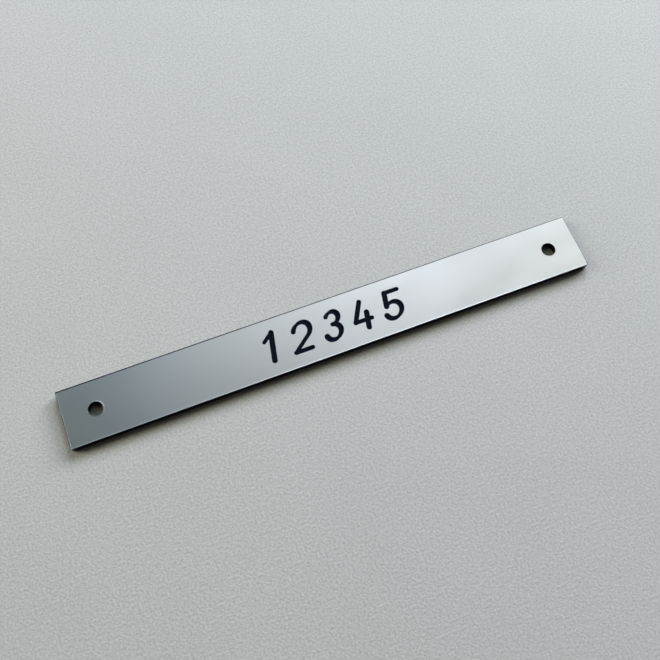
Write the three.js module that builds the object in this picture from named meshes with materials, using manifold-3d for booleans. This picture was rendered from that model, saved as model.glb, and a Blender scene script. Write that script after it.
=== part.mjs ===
// Name plate: a thin brushed metal face glued to a black core, with a screw hole near each end
// and plain numerals engraved through the face into the core.
// Millimetres. The plate lies on its back: +X along it, +Y across it, +Z up out of its face.
// The origin is the centre of the back.
import * as THREE from 'three';
import { mergeVertices } from 'three/addons/utils/BufferGeometryUtils.js';
import Module from 'manifold-3d';

const wasm = await Module();
wasm.setup();

// Plate outline
const plateLength = 120;
const plateWidth = 13;
const cornerRadius = 0.25;

// Layers, from the back to the face
const coreThickness = 1.85;
const filmThickness = 0.05;
const faceThickness = 0.1;

// The face and its film stop short of the core's edge, which shows as a thin dark line
const faceSetback = 0.12;

// Screw holes, one near each end on the centre line
const holeDiameter = 3.2;
const holeToEnd = 7;
const faceHoleClearance = 0.03;

// Engraved numerals: heights and widths are measured between the centre lines of their strokes
const numerals = [1, 2, 3, 4, 5];
const numeralHeight = 6.3;
const numeralWidth = 3.8;
const numeralPitch = 7.1;
const numeralSlant = THREE.MathUtils.degToRad(12);
const engravingDepth = 0.12;

// The numerals' strokes are those of a broad nib: thin along the nib's edge, thick across it
const thinStroke = 0.75;
const thickStroke = 1.35;
const nibAngle = THREE.MathUtils.degToRad(25);

// Facets of round outlines
const cornerFacets = 4;
const holeFacets = 48;
const bowlFacets = 24;
const strokeEndFacets = 6;

// How far a cutter runs past the surface that it cuts through
const cutterMargin = 0.5;

const filmBase = coreThickness;
const faceBase = filmBase + filmThickness;
const faceTop = faceBase + faceThickness;

function circlePoints(x, y, radius, facets) {
  const circle = new THREE.EllipseCurve(x, y, radius, radius);
  return circle.getPoints(facets).slice(0, facets);
}

// The plate's outline drawn inwards by setback, with the two screw holes opened by holeClearance
function plateShape(setback, holeClearance) {
  const halfLength = plateLength / 2 - setback;
  const halfWidth = plateWidth / 2 - setback;
  const outline = [];
  const corners = [[1, 1], [-1, 1], [-1, -1], [1, -1]];
  corners.forEach(([sideX, sideY], quarter) => {
    const centreX = sideX * (halfLength - cornerRadius);
    const centreY = sideY * (halfWidth - cornerRadius);
    for (let i = 0; i <= cornerFacets; i += 1) {
      const angle = (quarter + i / cornerFacets) * Math.PI / 2;
      const x = centreX + cornerRadius * Math.cos(angle);
      const y = centreY + cornerRadius * Math.sin(angle);
      outline.push(new THREE.Vector2(x, y));
    }
  });
  const shape = new THREE.Shape(outline);
  const holeRadius = holeDiameter / 2 + holeClearance;
  for (const side of [-1, 1]) {
    const centreX = side * (plateLength / 2 - holeToEnd);
    shape.holes.push(new THREE.Path(circlePoints(centreX, 0, holeRadius, holeFacets)));
  }
  return shape;
}

// A flat slab of the given shape that stands on z = base
function slab(shape, base, thickness) {
  const geometry = new THREE.ExtrudeGeometry(shape, { depth: thickness, bevelEnabled: false });
  return geometry.translate(0, 0, base);
}

function toSolid(geometry) {
  const bare = geometry.clone();
  bare.deleteAttribute('normal');
  bare.deleteAttribute('uv');
  const merged = mergeVertices(bare);
  return new wasm.Manifold(new wasm.Mesh({
    numProp: 3,
    vertProperties: new Float32Array(merged.attributes.position.array),
    triVerts: new Uint32Array(merged.index.array),
  }));
}

function toGeometry(solid) {
  const mesh = solid.getMesh();
  const geometry = new THREE.BufferGeometry();
  geometry.setAttribute('position', new THREE.BufferAttribute(mesh.vertProperties, 3));
  geometry.setIndex(new THREE.BufferAttribute(mesh.triVerts, 1));
  geometry.computeVertexNormals();
  return geometry;
}

function straight(...points) {
  return points.map(([x, y]) => new THREE.Vector2(x, y));
}

// A clockwise arc between two angles in degrees
function bowl(x, y, radius, from, to) {
  const start = THREE.MathUtils.degToRad(from);
  const end = THREE.MathUtils.degToRad(to);
  return new THREE.EllipseCurve(x, y, radius, radius, start, end, true).getPoints(bowlFacets);
}

// The centre lines of each numeral's strokes, in a box numeralWidth wide and numeralHeight tall
function centreLines(numeral) {
  const w = numeralWidth;
  const h = numeralHeight;
  const middle = w / 2;
  if (numeral === 1) {
    return [straight([0.12 * w, 0.74 * h], [0.58 * w, h]), straight([0.58 * w, h], [0.58 * w, 0])];
  }
  if (numeral === 2) {
    // A round top that runs on into a straight diagonal, tangent to it, down to the foot
    const centre = new THREE.Vector2(middle, h - middle);
    const reach = centre.length();
    const diagonal = centre.angle() - Math.asin(middle / reach);
    const tangent = THREE.MathUtils.radToDeg(diagonal) - 90;
    const top = bowl(centre.x, centre.y, middle, 170, tangent);
    return [[...top, new THREE.Vector2(0, 0)], straight([0, 0], [w, 0])];
  }
  if (numeral === 3) {
    // Two bowls that meet on the centre line, the lower one a little larger
    const upper = 0.23 * h;
    const lower = 0.27 * h;
    return [bowl(middle, h - upper, upper, 155, -90), bowl(middle, lower, lower, 90, -160)];
  }
  if (numeral === 4) {
    // Open at the top, so that the face inside it stays joined to the rest
    const bar = 0.3 * h;
    const stem = 0.74 * w;
    return [
      straight([0.4 * w, h], [0, bar]),
      straight([0, bar], [w, bar]),
      straight([stem, 0.56 * h], [stem, 0]),
    ];
  }
  // A five: a flag, a short stem and a bowl
  const radius = 0.3 * h;
  const shoulder = THREE.MathUtils.degToRad(140);
  const stem = middle + radius * Math.cos(shoulder);
  const stemFoot = radius + radius * Math.sin(shoulder);
  return [
    straight([0.92 * w, h], [stem, h]),
    straight([stem, h], [stem, stemFoot]),
    bowl(middle, radius, radius, 140, -155),
  ];
}

// The width of a stroke that runs in the given direction
function strokeWidth(along) {
  const across = Math.abs(Math.sin(along.angle() - nibAngle));
  return thinStroke + (thickStroke - thinStroke) * across;
}

// The outline of a round-ended stroke along a centre line
function strokeShape(line) {
  const sides = [[], []];
  line.forEach((point, i) => {
    const before = line[Math.max(i - 1, 0)];
    const after = line[Math.min(i + 1, line.length - 1)];
    const along = after.clone().sub(before).normalize();
    const across = new THREE.Vector2(-along.y, along.x).multiplyScalar(strokeWidth(along) / 2);
    sides[0].push(point.clone().sub(across));
    sides[1].unshift(point.clone().add(across));
  });
  const outline = [];
  sides.forEach((side, i) => {
    outline.push(...side);
    const centre = i === 0 ? line[line.length - 1] : line[0];
    const reach = side[side.length - 1].clone().sub(centre);
    for (let k = 1; k < strokeEndFacets; k += 1) {
      const turned = reach.clone().rotateAround(new THREE.Vector2(), k * Math.PI / strokeEndFacets);
      outline.push(centre.clone().add(turned));
    }
  });
  return new THREE.Shape(outline);
}

// One cutter for the whole row of numerals, down to the floor of the engraving
function numeralCutter() {
  const floor = coreThickness - engravingDepth;
  const height = faceTop + cutterMargin - floor;
  const rowWidth = (numerals.length - 1) * numeralPitch + numeralWidth;
  const lean = Math.tan(numeralSlant);
  let cutter = null;
  numerals.forEach((numeral, place) => {
    const left = place * numeralPitch - rowWidth / 2;
    for (const line of centreLines(numeral)) {
      const placed = line.map((point) => {
        const y = point.y - numeralHeight / 2;
        return new THREE.Vector2(left + point.x + y * lean, y);
      });
      const stroke = toSolid(slab(strokeShape(placed), floor, height));
      cutter = cutter ? cutter.add(stroke) : stroke;
    }
  });
  return cutter;
}

const cutter = numeralCutter();

function engraved(geometry) {
  return toGeometry(toSolid(geometry).subtract(cutter));
}

function corePlate() {
  const blank = slab(plateShape(0, 0), 0, coreThickness);
  const material = new THREE.MeshStandardMaterial({ color: 0x0b0d16, roughness: 0.5, metalness: 0 });
  return new THREE.Mesh(engraved(blank), material);
}

function bondFilm() {
  const blank = slab(plateShape(faceSetback, faceHoleClearance), filmBase, filmThickness);
  const material = new THREE.MeshStandardMaterial({ color: 0x2b2a28, roughness: 0.6, metalness: 0 });
  return new THREE.Mesh(engraved(blank), material);
}

function faceSheet() {
  const blank = slab(plateShape(faceSetback, faceHoleClearance), faceBase, faceThickness);
  const material = new THREE.MeshStandardMaterial({ color: 0xb4babd, roughness: 0.35, metalness: 1 });
  return new THREE.Mesh(engraved(blank), material);
}

const namePlate = new THREE.Group();
const pieces = { core_plate: corePlate(), bond_film: bondFilm(), face_sheet: faceSheet() };
for (const [name, mesh] of Object.entries(pieces)) {
  mesh.name = name;
  namePlate.add(mesh);
}

export default namePlate;
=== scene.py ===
"""Looks of the name plate: a brushed metal face on a black core, engraved through to the core.

Lengths are in metres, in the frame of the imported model: +X along the plate, +Y across it, +Z up.
"""
import math
import random

import bmesh
import bpy
import numpy as np
from mathutils import Matrix, Vector, geometry, noise


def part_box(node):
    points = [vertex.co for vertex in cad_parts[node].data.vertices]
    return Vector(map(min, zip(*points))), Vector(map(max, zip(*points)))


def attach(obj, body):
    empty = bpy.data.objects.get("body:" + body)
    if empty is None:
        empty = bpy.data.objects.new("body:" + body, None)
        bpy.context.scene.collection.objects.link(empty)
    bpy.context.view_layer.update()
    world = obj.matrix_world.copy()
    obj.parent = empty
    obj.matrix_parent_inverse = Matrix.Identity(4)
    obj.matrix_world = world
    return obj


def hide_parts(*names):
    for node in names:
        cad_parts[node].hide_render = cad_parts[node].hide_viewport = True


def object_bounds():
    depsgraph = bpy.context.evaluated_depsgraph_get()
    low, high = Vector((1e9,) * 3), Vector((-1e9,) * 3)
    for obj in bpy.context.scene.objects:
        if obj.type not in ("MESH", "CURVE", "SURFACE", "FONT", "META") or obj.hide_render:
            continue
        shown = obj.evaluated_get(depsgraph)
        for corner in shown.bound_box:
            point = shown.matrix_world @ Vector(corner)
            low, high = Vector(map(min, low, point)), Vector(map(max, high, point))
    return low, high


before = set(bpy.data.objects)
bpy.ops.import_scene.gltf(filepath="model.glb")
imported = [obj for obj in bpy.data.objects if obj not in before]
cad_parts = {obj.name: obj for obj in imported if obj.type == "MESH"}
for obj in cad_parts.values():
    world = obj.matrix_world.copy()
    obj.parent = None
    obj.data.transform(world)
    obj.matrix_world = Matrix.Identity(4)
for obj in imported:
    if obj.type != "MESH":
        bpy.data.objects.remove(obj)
cad_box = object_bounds()

MM = 0.001
SEED = 7

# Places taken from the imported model
core_low, core_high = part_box("core_plate")
film_low, film_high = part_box("bond_film")
face_low, face_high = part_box("face_sheet")

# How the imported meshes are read: points closer than WELD are one, a face looks up when its normal's Z
# is over FACING_UP, and heights are rounded to this many digits
WELD = 0.0005 * MM
FACING_UP = 0.9
HEIGHT_DIGITS = 7

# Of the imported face's outlines, one longer than this share of the face is its outer edge, and one
# further from the middle than this share of the length is a screw hole. The rest are numerals.
OUTER_EDGE_SHARE = 0.9
HOLE_PLACE_SHARE = 0.35

# How the numerals' outlines are made finer: angles in degrees
SHORTEST_EDGE = 0.06 * MM
LONGEST_ROUND_STEP = 0.8 * MM
LEAST_ROUND_TURN = 1.0
MOST_ROUND_TURN = 40.0
LONGEST_NUMERAL_STEP = 0.4 * MM

# Moving an outline inwards: how far a sharp corner may run ahead, and how sharp a round one may become
MITRE_LIMIT = 0.5
SHARPEST_SHARE = 0.1

# Meshes: how far apart the inner points of a flat area are, how an area is divided into triangles, and
# how the surfaces are shaded
FACE_SPACING = 1 * MM
FLAT_SPACING = 2 * MM
FILM_SPACING = 3 * MM
CLEAR_OF_EDGE_SHARE = 0.45
POINTS_AT_ONCE = 500
ALL_TRIANGLES = 0
SAME_POINT = 0.00005 * MM
TRIANGULATION_SLACK = 1e-7
SMOOTH_UP_TO = math.radians(35.0)
UV_SIZE = 120 * MM

# Screw holes: the face's are a little wider than the core's, and a little out of round
CORE_HOLE_RADIUS = 1.60 * MM
FACE_HOLE_RADIUS = 1.63 * MM
FACE_HOLE_WOBBLE = 0.02 * MM
WOBBLE_WAVES = 1.7

# How far the face stops short of the core's edge: the gap at the back narrows to the right
FACE_GAP_BACK_LEFT = 0.31 * MM
FACE_GAP_BACK_RIGHT = 0.18 * MM
FACE_GAP_FRONT = 0.02 * MM
FACE_GAP_LEFT = 0.12 * MM
FACE_GAP_RIGHT = 0.16 * MM
FACE_CORNER_RADIUS = 0.06 * MM
FACE_EDGE_STEP = 1.0 * MM

# A dent in the right edge, from the front corner on: its depth, and where it is deepest and ends
DENT_DEPTH = 0.14 * MM
DENT_DEEPEST_AT = 0.455 * MM
DENT_TO = 0.75 * MM

# Cutting has raised a slight lip along the face's front and left edges. Along the front it starts to
# fall at a share of the plate's length, and the rate is per length.
EDGE_LIP_HEIGHT = 0.031 * MM
EDGE_LIP_WIDTH = 0.10 * MM
EDGE_LIP_FLAT = 0.04 * MM
EDGE_LIP_FADE = 3 * MM
LEFT_LIP_SHARE = 0.4
FRONT_LIP_SHARE_AT_RIGHT = 0.4
FRONT_LIP_FALL_FROM = 0.2
FRONT_LIP_FALL_RATE = 3

# A higher lip stands round the holes, of which the left one has more. It is highest on one side.
HOLE_LIP_HEIGHT = 0.034 * MM
HOLE_LIP_WIDTH = 0.26 * MM
HOLE_LIP_ROUNDING = 0.008 * MM
HOLE_LIP_LEAST = 0.25
HOLE_LIP_SHARES = (1.0, 0.35)
HOLE_LIP_HIGH_SIDE = Vector((0.8, 0.6))

# How a lip comes down to the flat face: shares of its width and of its height
LIP_FALL = [(0.35, 0.6), (0.65, 0.2), (1.0, 0.0)]
FLAT_MARGIN = 0.08 * MM
FACE_TOP = face_high.z - max(EDGE_LIP_HEIGHT, HOLE_LIP_HEIGHT)

# The flat rim of the face round the numerals, and the face's slight waves
CUT_RIM = 0.04 * MM
SHEET_WAVE_HEIGHT = 0.0015 * MM
SHEET_WAVE_LENGTH = 14 * MM
SHEET_WAVE_WIDTH = 7 * MM
SHEET_WAVE_SLICE = 0.3

# The film lies a hair below the face and above the core, and a hair back from the face's edges
FILM_GAP = 0.002 * MM
FILM_SETBACK_LOW = 0.03 * MM
FILM_SETBACK_HIGH = 0.025 * MM

# The core's sawn outer edge and bores: broken at the bottom and at the top, and divided in between.
# EDGE_BOW is how far a broken edge bows out, and the rims are where the flat areas start, as shares of
# the break.
CORE_CORNER_RADIUS = 0.25 * MM
EDGE_BREAKS = (0.08 * MM, 0.03 * MM)
EDGE_STEPS = 7
BORE_BREAKS = (0.06 * MM, 0.02 * MM)
BORE_STEPS = 6
EDGE_BOW = 0.3
BOTTOM_RIM = 1.6
TOP_RIM = 1.8

# Saw marks: a share of their depth is each mark's own, the rest swells slowly along the wall, and they
# fade in and out in spots
SAW_MARK_DEPTH = 0.006 * MM
SAW_MARK_PITCH = 0.15 * MM
SAW_MARKS_DRAWN = 4096
SAW_MARK_OWN_SHARE = 0.6
SAW_SWELL_LENGTH = 3 * MM
SAW_FADE_SHARE = 0.25
SAW_FADE_LENGTH = 0.4 * MM
SAW_FADE_HEIGHT = 0.5 * MM

# The engraving in the core: its rims, and its rough floor, part in ridges and part at random
POCKET_FLOOR_MARGIN = 0.02 * MM
POCKET_FLOOR_ROUNDING = 0.02 * MM
POCKET_BREAK = 0.008 * MM
POCKET_RIM = 0.03 * MM
POCKET_GRAIN_HEIGHT = 0.006 * MM
POCKET_GRAIN_PITCH = 0.13 * MM
RIDGE_SHARE = 0.35
RIDGE_LENGTH = 0.11 * MM
RIDGE_LEAN = 0.6

# The camera, fitted to the photograph: angles in degrees, focal length in pixels of its frame
FRAME_PIXELS = 660
FOCAL_PIXELS = 800
CAMERA_ELEVATION = 69.17
CAMERA_SPIN = -26.46
CAMERA_ROLL = 5.50
CAMERA_DISTANCE = 174.23 * MM
CAMERA_AIM = Vector((-0.98 * MM, -0.79 * MM, 2.0 * MM))
CAMERA_SEES_FROM = 5 * MM
SENSOR_WIDTH = 36.0

# Round softboxes on a dome: name, azimuth and elevation in degrees, radiance in red, green and blue
LAMP_DISTANCE = 800 * MM
LAMP_RADIUS = 200 * MM
LAMPS = [
    ("window", 64, 34, (8.8, 9.2, 10.2)),
    ("window_right", 26, 24, (14.0, 14.1, 13.9)),
    ("window_left", 105, 26, (0.35, 0.5, 0.6)),
    ("back_top", 80, 60, (0.84, 0.86, 0.83)),
    ("right_top", 0, 60, (0.3, 0.3, 0.25)),
    ("right_high", 32, 58, (0.28, 0.27, 0.22)),
    ("left_top", 120, 60, (0.03, 0.11, 0.19)),
    ("side_high", 150, 42, (2.2, 1.75, 0.2)),
    ("side_low", 154, 24, (6.5, 6.6, 6.3)),
]

# In reflections this lamp would burn the face out as seen from one side
LAMPS_WITHOUT_REFLECTION = ["side_low"]

# The backdrop shows behind the far floor and in glossy surfaces, and lights nothing. It fades into the
# dim room above between these sines of the height above the horizon, and the floor fades into it with
# distance.
BACKDROP_COLOUR = (0.50, 0.52, 0.525, 1)
ROOM_COLOUR = (0.014, 0.011, 0.010, 1)
BACKDROP_PALE_UP_TO = 0.42
BACKDROP_GONE_AT = 0.72
FLOOR_FADE_FROM = 160 * MM
FLOOR_FADE_TO = 420 * MM
FLOOR_HALF_SIZE = 2000 * MM
FLOOR_DROP = 0.01 * MM


def flat_outlines(node, height):
    """The outlines of a node's upward faces at a height, each with the material on its left."""
    mesh = bmesh.new()
    mesh.from_mesh(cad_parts[node].data)
    bmesh.ops.remove_doubles(mesh, verts=mesh.verts, dist=WELD)
    level = set()
    for face in mesh.faces:
        if face.normal.z > FACING_UP and abs(face.calc_center_median().z - height) < WELD:
            level.add(face)
    after = {}
    for face in level:
        for corner in face.loops:
            if not any(f in level for f in corner.edge.link_faces if f is not face):
                after[corner.vert] = corner.link_loop_next.vert
    outlines = []
    while after:
        start = min(after, key=lambda vert: vert.index)
        outline = []
        vert = start
        while vert in after:
            outline.append(vert.co.xy.copy())
            vert = after.pop(vert)
        outlines.append(outline)
    mesh.free()
    return outlines


def pocket_floor():
    """The height of the engraving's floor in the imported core."""
    heights = set()
    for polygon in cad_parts["core_plate"].data.polygons:
        if polygon.normal.z > FACING_UP:
            heights.add(round(polygon.center.z, HEIGHT_DIGITS))
    return min(heights)


def without_short_edges(outline):
    """The same outline without the points that lie very close to the one before, so that it can be
    moved inwards without crossing itself."""
    kept = [outline[0]]
    for point in outline[1:]:
        if min((point - kept[-1]).length, (point - kept[0]).length) > SHORTEST_EDGE:
            kept.append(point)
    return kept


def turn(before, point, after):
    """The angle in degrees by which an outline turns at a point."""
    return abs(math.degrees((point - before).angle_signed(after - point)))


def finer(outline, rounds=2):
    """The same outline with more points on its round stretches, by a four point scheme."""
    for _ in range(rounds):
        count = len(outline)
        result = []
        for i in range(count):
            a, b, c, d = (outline[(i + k) % count] for k in (-1, 0, 1, 2))
            result.append(b)
            sharpest = max(turn(a, b, c), turn(b, c, d))
            step = (c - b).length
            if step < LONGEST_ROUND_STEP and LEAST_ROUND_TURN < sharpest < MOST_ROUND_TURN:
                near = b + (a - b).normalized() * step
                far = c + (d - c).normalized() * step
                result.append((9 * (b + c) - near - far) / 16)
        outline = result
    return outline


def divided(outline, step):
    """The same outline with its long edges divided into steps no longer than this."""
    result = []
    for i, point in enumerate(outline):
        ahead = outline[(i + 1) % len(outline)]
        pieces = max(1, math.ceil((ahead - point).length / step))
        for k in range(pieces):
            result.append(point.lerp(ahead, k / pieces))
    return result


def sorted_outlines():
    """The numerals' outlines and the centres of the two screw holes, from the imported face."""
    numerals = []
    centres = []
    face_length = (face_high - face_low).x
    for outline in flat_outlines("face_sheet", face_high.z):
        low = Vector((min(p.x for p in outline), min(p.y for p in outline)))
        high = Vector((max(p.x for p in outline), max(p.y for p in outline)))
        middle = (low + high) / 2
        if (high - low).x > OUTER_EDGE_SHARE * face_length:
            continue
        if abs(middle.x) > HOLE_PLACE_SHARE * face_length:
            centres.append(middle)
        else:
            numerals.append(divided(finer(without_short_edges(outline)), LONGEST_NUMERAL_STEP))
    return numerals, sorted(centres, key=lambda centre: centre.x)


numeral_outlines, hole_centres = sorted_outlines()


def inset(outline, distance):
    """The outline moved towards the material on its left."""
    result = []
    for i, point in enumerate(outline):
        before = (point - outline[i - 1]).normalized()
        after = (outline[(i + 1) % len(outline)] - point).normalized()
        normals = Vector((-before.y, before.x)), Vector((-after.y, after.x))
        reach = max(1 + normals[0].dot(normals[1]), MITRE_LIMIT)
        result.append(point + (normals[0] + normals[1]) * distance / reach)
    return result


def rounded_polygon(corners, radius, step, facets=6):
    """Gives a function of a distance. Its outline is the polygon moved inwards by the distance, with
    rounded corners, and with its sides divided into steps of about this length."""
    counts = []
    for i, corner in enumerate(corners):
        side = corners[(i + 1) % len(corners)] - corner
        counts.append(max(1, round(side.length / step)))

    def outline(distance):
        moved = inset(corners, distance)
        bend = max(radius - distance, SHARPEST_SHARE * radius)
        result = []
        for i, corner in enumerate(moved):
            before = (moved[i - 1] - corner).normalized()
            after = (moved[(i + 1) % len(moved)] - corner).normalized()
            half = before.angle(after) / 2
            centre = corner + (before + after).normalized() * bend / math.sin(half)
            start = corner + before * bend / math.tan(half) - centre
            sweep = start.angle_signed(corner + after * bend / math.tan(half) - centre)
            for k in range(facets + 1):
                turned = Matrix.Rotation(-sweep * k / facets, 2) @ start
                result.append(centre + turned)
            ahead = moved[(i + 1) % len(moved)]
            following = (moved[(i + 2) % len(moved)] - ahead).normalized()
            next_half = (-after).angle(following) / 2
            end = ahead - after * bend / math.tan(next_half)
            for k in range(1, counts[i]):
                result.append(result[-1].lerp(end, 1 / (counts[i] - k + 1)))
        return result

    return outline


def circle(centre, radius, wobble=0.0, seed=0, facets=128):
    """A hole's outline, clockwise. The wobble puts it a little out of round."""
    result = []
    for k in range(facets):
        angle = -2 * math.pi * k / facets
        ray = Vector((math.cos(angle), math.sin(angle)))
        spot = Vector((ray.x * WOBBLE_WAVES, ray.y * WOBBLE_WAVES, seed))
        result.append(centre + ray * (radius + wobble * noise.noise(spot)))
    return result


def ring_edges(ring):
    """A closed ring's edges, each as the two points at its ends."""
    return list(zip(ring, ring[1:] + ring[:1]))


def inside(points, edge_points, edges):
    """Which points lie between the rings, by counting the edges to their right."""
    crossings = np.zeros(len(points), int)
    for a, b in edges:
        (ax, ay), (bx, by) = edge_points[a], edge_points[b]
        spans = (ay > points[:, 1]) != (by > points[:, 1])
        if not spans.any():
            continue
        reach = ax + (points[:, 1] - ay) * (bx - ax) / (by - ay)
        crossings += spans & (points[:, 0] < reach)
    return crossings % 2 == 1


def grid_inside(edge_points, edges, spacing):
    """Staggered grid points between the rings, none close to an edge point."""
    low, high = edge_points.min(axis=0), edge_points.max(axis=0)
    rows = np.arange(low[1] + spacing / 2, high[1], spacing)
    columns = np.arange(low[0] + spacing / 2, high[0], spacing)
    grid = np.array([(x + (k % 2) * spacing / 2, y) for k, y in enumerate(rows) for x in columns])
    grid = grid[inside(grid, edge_points, edges)]
    kept = []
    for part in np.array_split(grid, max(1, len(grid) // POINTS_AT_ONCE)):
        gaps = np.linalg.norm(part[:, None, :] - edge_points[None, :, :], axis=2).min(axis=1)
        kept.append(part[gaps > spacing * CLEAR_OF_EDGE_SHARE])
    return np.vstack(kept)


class Sheet:
    """A mesh built from walls that follow outlines, and flat fills between them."""

    def __init__(self):
        self.points = []
        self.faces = []
        self.finishes = []

    def add_face(self, ids, finish):
        self.faces.append(ids)
        self.finishes.append(finish)

    def wall(self, outline, profile, rough=None, finish=0):
        """A wall along an outline, or along a function that gives the outline at each inset. The
        profile lists insets and heights from the lowest fill to the highest. What
        rough(outline, i, height) gives is taken off a point's place. Gives the first and last ring."""
        rings = []
        for offset, height in profile:
            moved = outline(offset) if callable(outline) else inset(outline, offset)
            ring = []
            for i, point in enumerate(moved):
                spot = Vector((point.x, point.y, height))
                if rough:
                    spot -= rough(moved, i, height)
                ring.append(len(self.points))
                self.points.append(spot)
            rings.append(ring)
        for low, high in zip(rings, rings[1:]):
            for (a, b), (c, d) in zip(ring_edges(low), ring_edges(high)):
                self.add_face((a, b, d, c), finish)
        return rings[0], rings[-1]

    def fill(self, rings, height, spacing, up=True, lift=None, finish=0):
        """Triangles over the area between rings, which lies on their left, with inner points at this
        spacing. lift(x, y) may raise an inner point."""
        ids = [i for ring in rings for i in ring]
        place = {point: k for k, point in enumerate(ids)}
        ahead = {pair for ring in rings for pair in ring_edges(ring)}
        edges = [(place[a], place[b]) for ring in rings for a, b in ring_edges(ring)]
        edge_points = np.array([self.points[i].xy for i in ids]) / MM
        inner = grid_inside(edge_points, edges, spacing / MM)
        flat = [Vector(p) for p in np.vstack([edge_points, inner])]
        made = geometry.delaunay_2d_cdt(flat, edges, [], ALL_TRIANGLES, TRIANGULATION_SLACK)
        found, _, triangles, origins, _, _ = made
        spots = np.array([spot[:] for spot in found])
        ids_of = {}
        for k, origin in enumerate(origins):
            if origin and origin[0] < len(ids):
                ids_of[k] = ids[origin[0]]
                continue
            x, y = spots[k] * MM
            rise = lift(x, y) if lift else 0.0
            ids_of[k] = len(self.points)
            self.points.append(Vector((x, y, height + rise)))
        centres = np.array([spots[list(triangle)].mean(axis=0) for triangle in triangles])
        for triangle, between in zip(triangles, inside(centres, edge_points, edges)):
            corners = tuple(ids_of[k] for k in triangle)
            sides = set(ring_edges(corners))
            against = {(b, a) for a, b in sides}
            # Beside a ring's edge only its left side is filled, wherever rounding puts the centre
            if (sides & ahead) or (between and not (against & ahead)):
                self.add_face(corners if up else corners[::-1], finish)

    def piece(self, name):
        """The mesh as a piece that rides on the plate's one body."""
        mesh = bpy.data.meshes.new(name)
        mesh.from_pydata([p[:] for p in self.points], [], self.faces)
        mesh.polygons.foreach_set("material_index", self.finishes)
        work = bmesh.new()
        work.from_mesh(mesh)
        bmesh.ops.remove_doubles(work, verts=work.verts, dist=SAME_POINT)
        for face in work.faces:
            face.smooth = True
        for edge in work.edges:
            edge.smooth = edge.calc_face_angle(math.pi) < SMOOTH_UP_TO
        layer = work.loops.layers.uv.new("UVMap")
        for face in work.faces:
            for corner in face.loops:
                along = corner.vert.co - Vector(cad_box[0])
                corner[layer].uv = (along.x / UV_SIZE, (along.y + along.z) / UV_SIZE)
        work.to_mesh(mesh)
        work.free()
        obj = bpy.data.objects.new(name, mesh)
        bpy.context.scene.collection.objects.link(obj)
        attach(obj, "root")
        return obj


def face_outline():
    """The face's outer edge: narrow uneven gaps to the core's edge, and a dent near the front right
    corner."""
    left = core_low.x + FACE_GAP_LEFT
    right = core_high.x - FACE_GAP_RIGHT
    front = core_low.y + FACE_GAP_FRONT
    corners = [
        Vector((left, front)),
        Vector((right, front)),
        Vector((right - DENT_DEPTH, front + DENT_DEEPEST_AT)),
        Vector((right, front + DENT_TO)),
        Vector((right, core_high.y - FACE_GAP_BACK_RIGHT)),
        Vector((left, core_high.y - FACE_GAP_BACK_LEFT)),
    ]
    return rounded_polygon(corners, FACE_CORNER_RADIUS, FACE_EDGE_STEP)


def sheet_wave(x, y):
    """The slight unevenness of the glued sheet."""
    spot = Vector((x / SHEET_WAVE_LENGTH, y / SHEET_WAVE_WIDTH, SHEET_WAVE_SLICE))
    return SHEET_WAVE_HEIGHT * noise.noise(spot)


def lip(base, height, width, flat=0.0, rounding=0.0):
    """The profile of a cut edge: up from the base to the crest, along it, and down to the flat face."""
    crest = FACE_TOP + height
    profile = [(0.0, base), (0.0, crest - rounding)]
    if rounding:
        profile.append((EDGE_BOW * rounding, crest - EDGE_BOW * rounding))
        profile.append((rounding, crest))
    if flat:
        profile.append((flat, crest))
    for out, up in LIP_FALL:
        profile.append((flat + out * width, FACE_TOP + up * height))
    profile.append((flat + width + FLAT_MARGIN, FACE_TOP))
    return profile


def lowered_by(share, height):
    """How far a point of a lip goes down when only this share of the lip's height is left."""
    return Vector((0, 0, (1 - share) * max(0.0, height - FACE_TOP)))


def only_front_and_left(outline, i, height):
    """How far to lower a point of the lip: it is full at the front left, falls towards the front right,
    is less along the left edge, and fades out along the right and back edges."""
    to_front = outline[i].y - core_low.y
    to_left = outline[i].x - core_low.x
    along = to_left / (core_high.x - core_low.x)
    fallen = min(1.0, max(0.0, FRONT_LIP_FALL_RATE * (along - FRONT_LIP_FALL_FROM)))
    front = 1 - (1 - FRONT_LIP_SHARE_AT_RIGHT) * fallen
    front_share = front * (1 - to_front / EDGE_LIP_FADE)
    left_share = LEFT_LIP_SHARE * (1 - to_left / EDGE_LIP_FADE)
    return lowered_by(max(front_share, left_share, 0.0), height)


def higher_on_one_side(centre, most):
    """How far to lower a point of the lip round a hole, which is lowest on the hole's left and front."""
    def lowered(outline, i, height):
        share = 0.5 + 0.5 * (outline[i] - centre).normalized().dot(HOLE_LIP_HIGH_SIDE)
        share = most * (HOLE_LIP_LEAST + (1 - HOLE_LIP_LEAST) * share)
        return lowered_by(share, height)

    return lowered


def face_sheet():
    """The brushed face: slight lips along two edges and round the holes, and crisp openings."""
    sheet = Sheet()
    base = face_low.z
    edge = lip(base, EDGE_LIP_HEIGHT, EDGE_LIP_WIDTH, flat=EDGE_LIP_FLAT)
    hole_edge = lip(base, HOLE_LIP_HEIGHT, HOLE_LIP_WIDTH, rounding=HOLE_LIP_ROUNDING)
    cut = [(0.0, base), (0.0, FACE_TOP), (CUT_RIM, FACE_TOP)]
    rings = [sheet.wall(face_outline(), edge, only_front_and_left)]
    for side, centre in enumerate(hole_centres):
        hole = circle(centre, FACE_HOLE_RADIUS, FACE_HOLE_WOBBLE, seed=side)
        lowered = higher_on_one_side(centre, HOLE_LIP_SHARES[side])
        rings.append(sheet.wall(hole, hole_edge, lowered))
    for outline in numeral_outlines:
        rings.append(sheet.wall(outline, cut))
    sheet.fill([first for first, _ in rings], base, FLAT_SPACING, up=False)
    sheet.fill([last for _, last in rings], FACE_TOP, FACE_SPACING, lift=sheet_wave)
    return sheet.piece("brushed_face")


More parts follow.
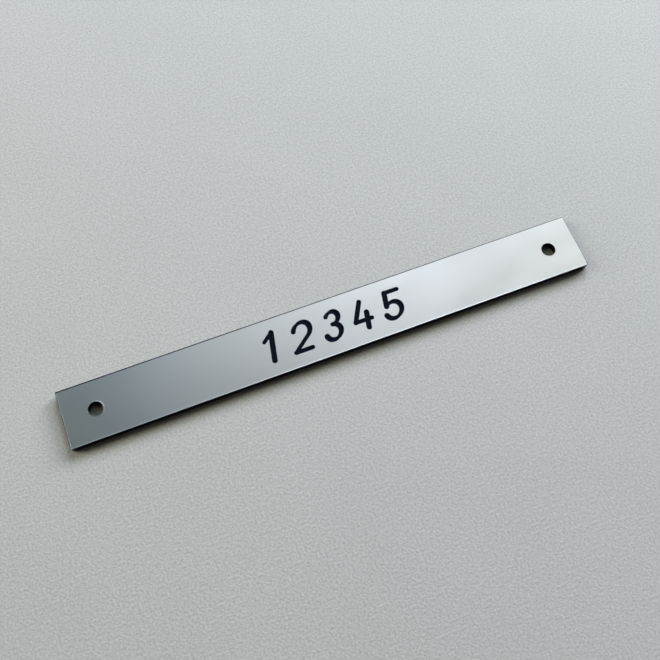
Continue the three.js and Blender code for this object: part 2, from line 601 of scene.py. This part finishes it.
def bond_film():
    """The adhesive film, a hair back from the face's edges."""
    sheet = Sheet()
    low = film_low.z + FILM_GAP
    high = film_high.z - FILM_GAP
    profile = [(FILM_SETBACK_LOW, low), (FILM_SETBACK_HIGH, high)]
    rings = [sheet.wall(face_outline(), profile)]
    for centre in hole_centres:
        rings.append(sheet.wall(circle(centre, FACE_HOLE_RADIUS), profile))
    for outline in numeral_outlines:
        rings.append(sheet.wall(outline, profile))
    sheet.fill([first for first, _ in rings], low, FILM_SPACING, up=False)
    sheet.fill([last for _, last in rings], high, FILM_SPACING)
    return sheet.piece("adhesive_film")


def core_profile(breaks, steps):
    """A wall from the back to the top of the core, with both edges broken."""
    low, high = core_low.z, core_high.z
    bottom, top = breaks
    profile = [
        (bottom * BOTTOM_RIM, low),
        (bottom, low),
        (bottom * EDGE_BOW, low + bottom * EDGE_BOW),
        (0.0, low + bottom),
    ]
    for k in range(1, steps):
        profile.append((0.0, low + bottom + (high - low - bottom - top) * k / steps))
    return profile + [
        (0.0, high - top),
        (top * EDGE_BOW, high - top * EDGE_BOW),
        (top, high),
        (top * TOP_RIM, high),
    ]


def saw_marks(seed):
    """Shallow upright marks in a cut wall, always into the material."""
    draw = random.Random(seed)
    strengths = [draw.random() for _ in range(SAW_MARKS_DRAWN)]

    def rough(outline, i, height):
        if not core_low.z < height < core_high.z:
            return Vector((0, 0, 0))
        point = outline[i]
        ahead = (outline[(i + 1) % len(outline)] - outline[i - 1]).normalized()
        outward = Vector((ahead.y, -ahead.x, 0))
        swell = noise.noise(Vector((point.x, point.y, 0)) / SAW_SWELL_LENGTH) * 0.5 + 0.5
        spot = Vector((point.x / SAW_FADE_LENGTH, point.y / SAW_FADE_LENGTH, height / SAW_FADE_HEIGHT))
        fade = 1 - SAW_FADE_SHARE + SAW_FADE_SHARE * noise.noise(spot)
        own = strengths[i % len(strengths)]
        mark = SAW_MARK_OWN_SHARE * own + (1 - SAW_MARK_OWN_SHARE) * swell
        return outward * SAW_MARK_DEPTH * mark * fade

    return rough


def core_plate():
    """The black core: sawn edges, two bored holes and the rough pockets of the engraving."""
    sheet = Sheet()
    low, high = core_low.z, core_high.z
    corners = [
        Vector((core_low.x, core_low.y)),
        Vector((core_high.x, core_low.y)),
        Vector((core_high.x, core_high.y)),
        Vector((core_low.x, core_high.y)),
    ]
    outline = rounded_polygon(corners, CORE_CORNER_RADIUS, SAW_MARK_PITCH)
    rings = [sheet.wall(outline, core_profile(EDGE_BREAKS, EDGE_STEPS), saw_marks(SEED))]
    bore = core_profile(BORE_BREAKS, BORE_STEPS)
    for side, centre in enumerate(hole_centres):
        hole = circle(centre, CORE_HOLE_RADIUS)
        rings.append(sheet.wall(hole, bore, saw_marks(SEED + 1 + side)))
    floor_height = pocket_floor()
    pocket = [
        (-POCKET_FLOOR_MARGIN, floor_height),
        (0.0, floor_height + POCKET_FLOOR_ROUNDING),
        (0.0, high - POCKET_BREAK),
        (POCKET_BREAK, high),
        (POCKET_RIM, high),
    ]
    pockets = [sheet.wall(outline, pocket, finish=1) for outline in numeral_outlines]
    draw = random.Random(SEED)

    def grain(x, y):
        ridge = math.sin((x + RIDGE_LEAN * y) / RIDGE_LENGTH)
        rest = 1 - RIDGE_SHARE
        return POCKET_GRAIN_HEIGHT * (RIDGE_SHARE * ridge + draw.uniform(-rest, rest))

    sheet.fill([first for first, _ in rings], low, FLAT_SPACING, up=False)
    sheet.fill([last for _, last in rings + pockets], high, FLAT_SPACING)
    # A floor lies on the other side of its ring than the material does
    floors = [first[::-1] for first, _ in pockets]
    sheet.fill(floors, floor_height, POCKET_GRAIN_PITCH, lift=grain, finish=1)
    return sheet.piece("black_core")


class Nodes:
    """Short calls for building a material's or a world's nodes."""

    def __init__(self, tree):
        self.tree = tree
        self.tree.nodes.clear()

    def add(self, kind, settings=None, **inputs):
        """A new node with these settings and inputs. An underscore stands for a space in a name."""
        node = self.tree.nodes.new(kind)
        for key, value in (settings or {}).items():
            setattr(node, key, value)
        for key, value in inputs.items():
            self.put(node.inputs[key.replace("_", " ")], value)
        return node

    def put(self, socket, value):
        """Joins a node or an output to an input, or sets the input to a plain value."""
        if isinstance(value, bpy.types.Node):
            value = value.outputs[0]
        if isinstance(value, bpy.types.NodeSocket):
            self.tree.links.new(value, socket)
        else:
            socket.default_value = value

    def place(self):
        """The place on the object, in metres."""
        return self.add("ShaderNodeTexCoord").outputs["Object"]

    def noise(self, coords, per_metre, detail=3.0, rough=0.6):
        """Noise with about this many waves in a metre along X, Y and Z."""
        mapped = self.add("ShaderNodeMapping", Vector=coords, Scale=per_metre)
        made = self.add("ShaderNodeTexNoise", Vector=mapped, Scale=1.0, Detail=detail, Roughness=rough)
        return made.outputs["Fac"]

    def math(self, operation, a, b):
        node = self.add("ShaderNodeMath", {"operation": operation})
        self.put(node.inputs[0], a)
        self.put(node.inputs[1], b)
        return node.outputs[0]

    def blend(self, a, b, share):
        """This share of a, and b for the rest."""
        return self.math("ADD", self.math("MULTIPLY", a, share), self.math("MULTIPLY", b, 1 - share))

    def spread(self, value, source, target=(0.0, 1.0)):
        """A value moved from its source range to a target range."""
        node = self.add("ShaderNodeMapRange", Value=value)
        ends = ["From Min", "From Max", "To Min", "To Max"]
        for name, end in zip(ends, source + target):
            self.put(node.inputs[name], end)
        return node.outputs["Result"]

    def mix(self, factor, a, b):
        """A colour from a to b."""
        node = self.add("ShaderNodeMix", {"data_type": "RGBA"})
        values = {"Factor_Float": factor, "A_Color": a, "B_Color": b}
        for socket in node.inputs:
            if socket.identifier in values:
                self.put(socket, values[socket.identifier])
        return next(s for s in node.outputs if s.identifier == "Result_Color")

    def bump(self, height, strength, depth):
        return self.add("ShaderNodeBump", Strength=strength, Distance=depth, Height=height)

    def seen(self):
        """1 for rays from the camera and those that glossy or clear surfaces pass on, 0 for light."""
        path = self.add("ShaderNodeLightPath")
        straight = self.math("MAXIMUM", path.outputs["Is Camera Ray"], path.outputs["Is Glossy Ray"])
        return self.math("MAXIMUM", straight, path.outputs["Is Transmission Ray"])


def new_material(name):
    material = bpy.data.materials.new(name)
    material.use_nodes = True
    return material, Nodes(material.node_tree)


def finish_surface(nodes, **inputs):
    """A Principled surface with these inputs, joined to the output."""
    shader = nodes.add("ShaderNodeBsdfPrincipled", **inputs)
    nodes.add("ShaderNodeOutputMaterial", Surface=shader)


def brushed_metal():
    """Very fine brush lines along the plate, with slight haze, in a satin silver."""
    material, nodes = new_material("brushed_metal")
    dark = (0.705, 0.738, 0.752, 1)
    pale = (0.724, 0.757, 0.771, 1)
    place = nodes.place()
    fine = nodes.noise(place, per_metre=(70, 21000, 300), detail=2.0)
    medium = nodes.noise(place, per_metre=(30, 9000, 100), detail=2.0)
    haze = nodes.noise(place, per_metre=(60, 110, 60))
    lines = nodes.blend(fine, medium, share=0.65)
    tone = nodes.spread(lines, source=(0.35, 0.65))
    hazy_lines = nodes.math("ADD", haze, lines)
    finish_surface(
        nodes,
        Base_Color=nodes.mix(tone, dark, pale),
        Metallic=1.0,
        Roughness=nodes.spread(hazy_lines, source=(0.7, 1.3), target=(0.30, 0.36)),
        Anisotropic=0.45,
        Anisotropic_Rotation=0.25,
        Normal=nodes.bump(lines, strength=0.1, depth=0.0008 * MM),
        Tangent=nodes.add("ShaderNodeTangent", {"direction_type": "UV_MAP"}),
    )
    return material


def core_plastic():
    """Glossy black plastic with a navy cast, faintly scuffed."""
    material, nodes = new_material("core_plastic")
    dark = (0.0008, 0.0024, 0.0130, 1)
    pale = (0.0014, 0.0034, 0.0170, 1)
    place = nodes.place()
    grain = nodes.noise(place, per_metre=(5200, 5200, 5200), detail=2.0)
    scuffs = nodes.noise(place, per_metre=(160, 1100, 1100))
    tone = nodes.spread(scuffs, source=(0.4, 0.7))
    finish_surface(
        nodes,
        Base_Color=nodes.mix(tone, dark, pale),
        Roughness=nodes.spread(scuffs, source=(0.35, 0.65), target=(0.18, 0.30)),
        Specular_IOR_Level=0.14,
        Normal=nodes.bump(grain, strength=0.3, depth=0.001 * MM),
    )
    return material


def engraved_plastic():
    """The same plastic where the cutter has left it matt, with fine close lines."""
    material, nodes = new_material("engraved_plastic")
    dark = (0.0010, 0.0028, 0.0100, 1)
    pale = (0.0020, 0.0045, 0.0140, 1)
    place = nodes.place()
    lines = nodes.noise(place, per_metre=(500, 14000, 500), detail=2.0)
    mottle = nodes.noise(place, per_metre=(1500, 1500, 1500))
    tone = nodes.spread(mottle, source=(0.4, 0.65))
    finish_surface(
        nodes,
        Base_Color=nodes.mix(tone, dark, pale),
        Roughness=nodes.spread(mottle, source=(0.35, 0.65), target=(0.42, 0.6)),
        Specular_IOR_Level=0.05,
        Normal=nodes.bump(lines, strength=0.5, depth=0.004 * MM),
    )
    return material


def film_adhesive():
    """Dark adhesive, seen only as a hairline."""
    material, nodes = new_material("film_adhesive")
    dark = (0.004, 0.005, 0.009, 1)
    pale = (0.008, 0.009, 0.014, 1)
    mottle = nodes.noise(nodes.place(), per_metre=(900, 900, 900))
    finish_surface(
        nodes,
        Base_Color=nodes.mix(mottle, dark, pale),
        Roughness=0.6,
        Normal=nodes.bump(mottle, strength=0.3, depth=0.004 * MM),
    )
    return material


def floor_paint():
    """A plain pale matt floor with a fine grain, which fades into the backdrop far from the plate."""
    material, nodes = new_material("floor_paint")
    dark = (0.425, 0.445, 0.465, 1)
    pale = (0.595, 0.615, 0.645, 1)
    place = nodes.place()
    grain = nodes.noise(place, per_metre=(2000, 2000, 2000), detail=2.0, rough=0.5)
    cloud = nodes.noise(place, per_metre=(35, 35, 35), detail=2.0)
    specks = nodes.spread(grain, source=(0.32, 0.68))
    tone = nodes.blend(specks, cloud, share=0.75)
    paint = nodes.add(
        "ShaderNodeBsdfPrincipled",
        Base_Color=nodes.mix(tone, dark, pale),
        Roughness=0.85,
        Specular_IOR_Level=0.1,
        Normal=nodes.bump(grain, strength=1.0, depth=0.09 * MM),
    )
    backdrop = nodes.add("ShaderNodeEmission", Color=BACKDROP_COLOUR, Strength=1.0)
    distance = nodes.add("ShaderNodeVectorMath", {"operation": "LENGTH"}, Vector=place).outputs["Value"]
    fade = nodes.spread(distance, source=(FLOOR_FADE_FROM, FLOOR_FADE_TO))
    mixed = nodes.add("ShaderNodeMixShader")
    faded = nodes.math("MULTIPLY", fade, nodes.seen())
    for socket, value in zip(mixed.inputs, (faded, paint, backdrop)):
        nodes.put(socket, value)
    nodes.add("ShaderNodeOutputMaterial", Surface=mixed)
    return material


def dress(piece, materials, node):
    for material in materials:
        piece.data.materials.append(material)
    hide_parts(node)


def add_floor():
    half = FLOOR_HALF_SIZE
    mesh = bpy.data.meshes.new("floor")
    corners = [(-half, -half, 0), (half, -half, 0), (half, half, 0), (-half, half, 0)]
    mesh.from_pydata(corners, [], [(0, 1, 2, 3)])
    floor = bpy.data.objects.new("floor", mesh)
    floor.location.z = core_low.z - FLOOR_DROP
    bpy.context.scene.collection.objects.link(floor)
    mesh.materials.append(floor_paint())


def add_lamp(name, azimuth, elevation, radiance):
    """A round softbox on the dome round the plate, as bright as this in red, green and blue."""
    turn_to, rise = math.radians(azimuth), math.radians(elevation)
    direction = Vector((
        math.cos(turn_to) * math.cos(rise),
        math.sin(turn_to) * math.cos(rise),
        math.sin(rise),
    ))
    lamp = bpy.data.lights.new(name, "AREA")
    lamp.shape = "DISK"
    lamp.size = 2 * LAMP_RADIUS
    area = math.pi * LAMP_RADIUS ** 2
    lamp.energy = math.pi * area * max(radiance)
    lamp.color = [value / max(radiance) for value in radiance]
    holder = bpy.data.objects.new(name, lamp)
    holder.location = direction * LAMP_DISTANCE
    holder.rotation_euler = direction.to_track_quat("Z", "Y").to_euler()
    holder.visible_glossy = name not in LAMPS_WITHOUT_REFLECTION
    bpy.context.scene.collection.objects.link(holder)


def add_world():
    """A dim room for light, and a pale backdrop where the camera or a glossy surface sees it."""
    world = bpy.data.worlds.new("room")
    world.use_nodes = True
    bpy.context.scene.world = world
    nodes = Nodes(world.node_tree)
    coords = nodes.add("ShaderNodeTexCoord").outputs["Generated"]
    height = nodes.add("ShaderNodeSeparateXYZ", Vector=coords).outputs["Z"]
    fade = nodes.spread(height, source=(BACKDROP_PALE_UP_TO, BACKDROP_GONE_AT), target=(1.0, 0.0))
    colour = nodes.mix(nodes.math("MULTIPLY", fade, nodes.seen()), ROOM_COLOUR, BACKDROP_COLOUR)
    room = nodes.add("ShaderNodeBackground", Color=colour, Strength=1.0)
    nodes.add("ShaderNodeOutputWorld", Surface=room)


def add_camera():
    """The photograph's camera, from its elevation, spin about the plate, roll and distance."""
    angles = (CAMERA_ELEVATION, CAMERA_SPIN, CAMERA_ROLL)
    elevation, spin, roll = (math.radians(angle) for angle in angles)
    back = Vector((
        math.sin(spin) * math.cos(elevation),
        -math.cos(spin) * math.cos(elevation),
        math.sin(elevation),
    ))
    level = Vector((0, 0, 1)).cross(back).normalized()
    upright = back.cross(level)
    right = level * math.cos(roll) + upright * math.sin(roll)
    up = upright * math.cos(roll) - level * math.sin(roll)
    data = bpy.data.cameras.new("camera")
    data.sensor_width = SENSOR_WIDTH
    data.lens = SENSOR_WIDTH * FOCAL_PIXELS / FRAME_PIXELS
    data.clip_start = CAMERA_SEES_FROM
    camera = bpy.data.objects.new("camera", data)
    turned = Matrix((right, up, back)).transposed().to_4x4()
    camera.matrix_world = Matrix.Translation(CAMERA_AIM + back * CAMERA_DISTANCE) @ turned
    bpy.context.scene.collection.objects.link(camera)
    bpy.context.scene.camera = camera


dress(face_sheet(), [brushed_metal()], "face_sheet")
dress(bond_film(), [film_adhesive()], "bond_film")
dress(core_plate(), [core_plastic(), engraved_plastic()], "core_plate")

add_floor()
add_world()
for lamp in LAMPS:
    add_lamp(*lamp)
add_camera()

bpy.context.scene.view_settings.view_transform = "Standard"
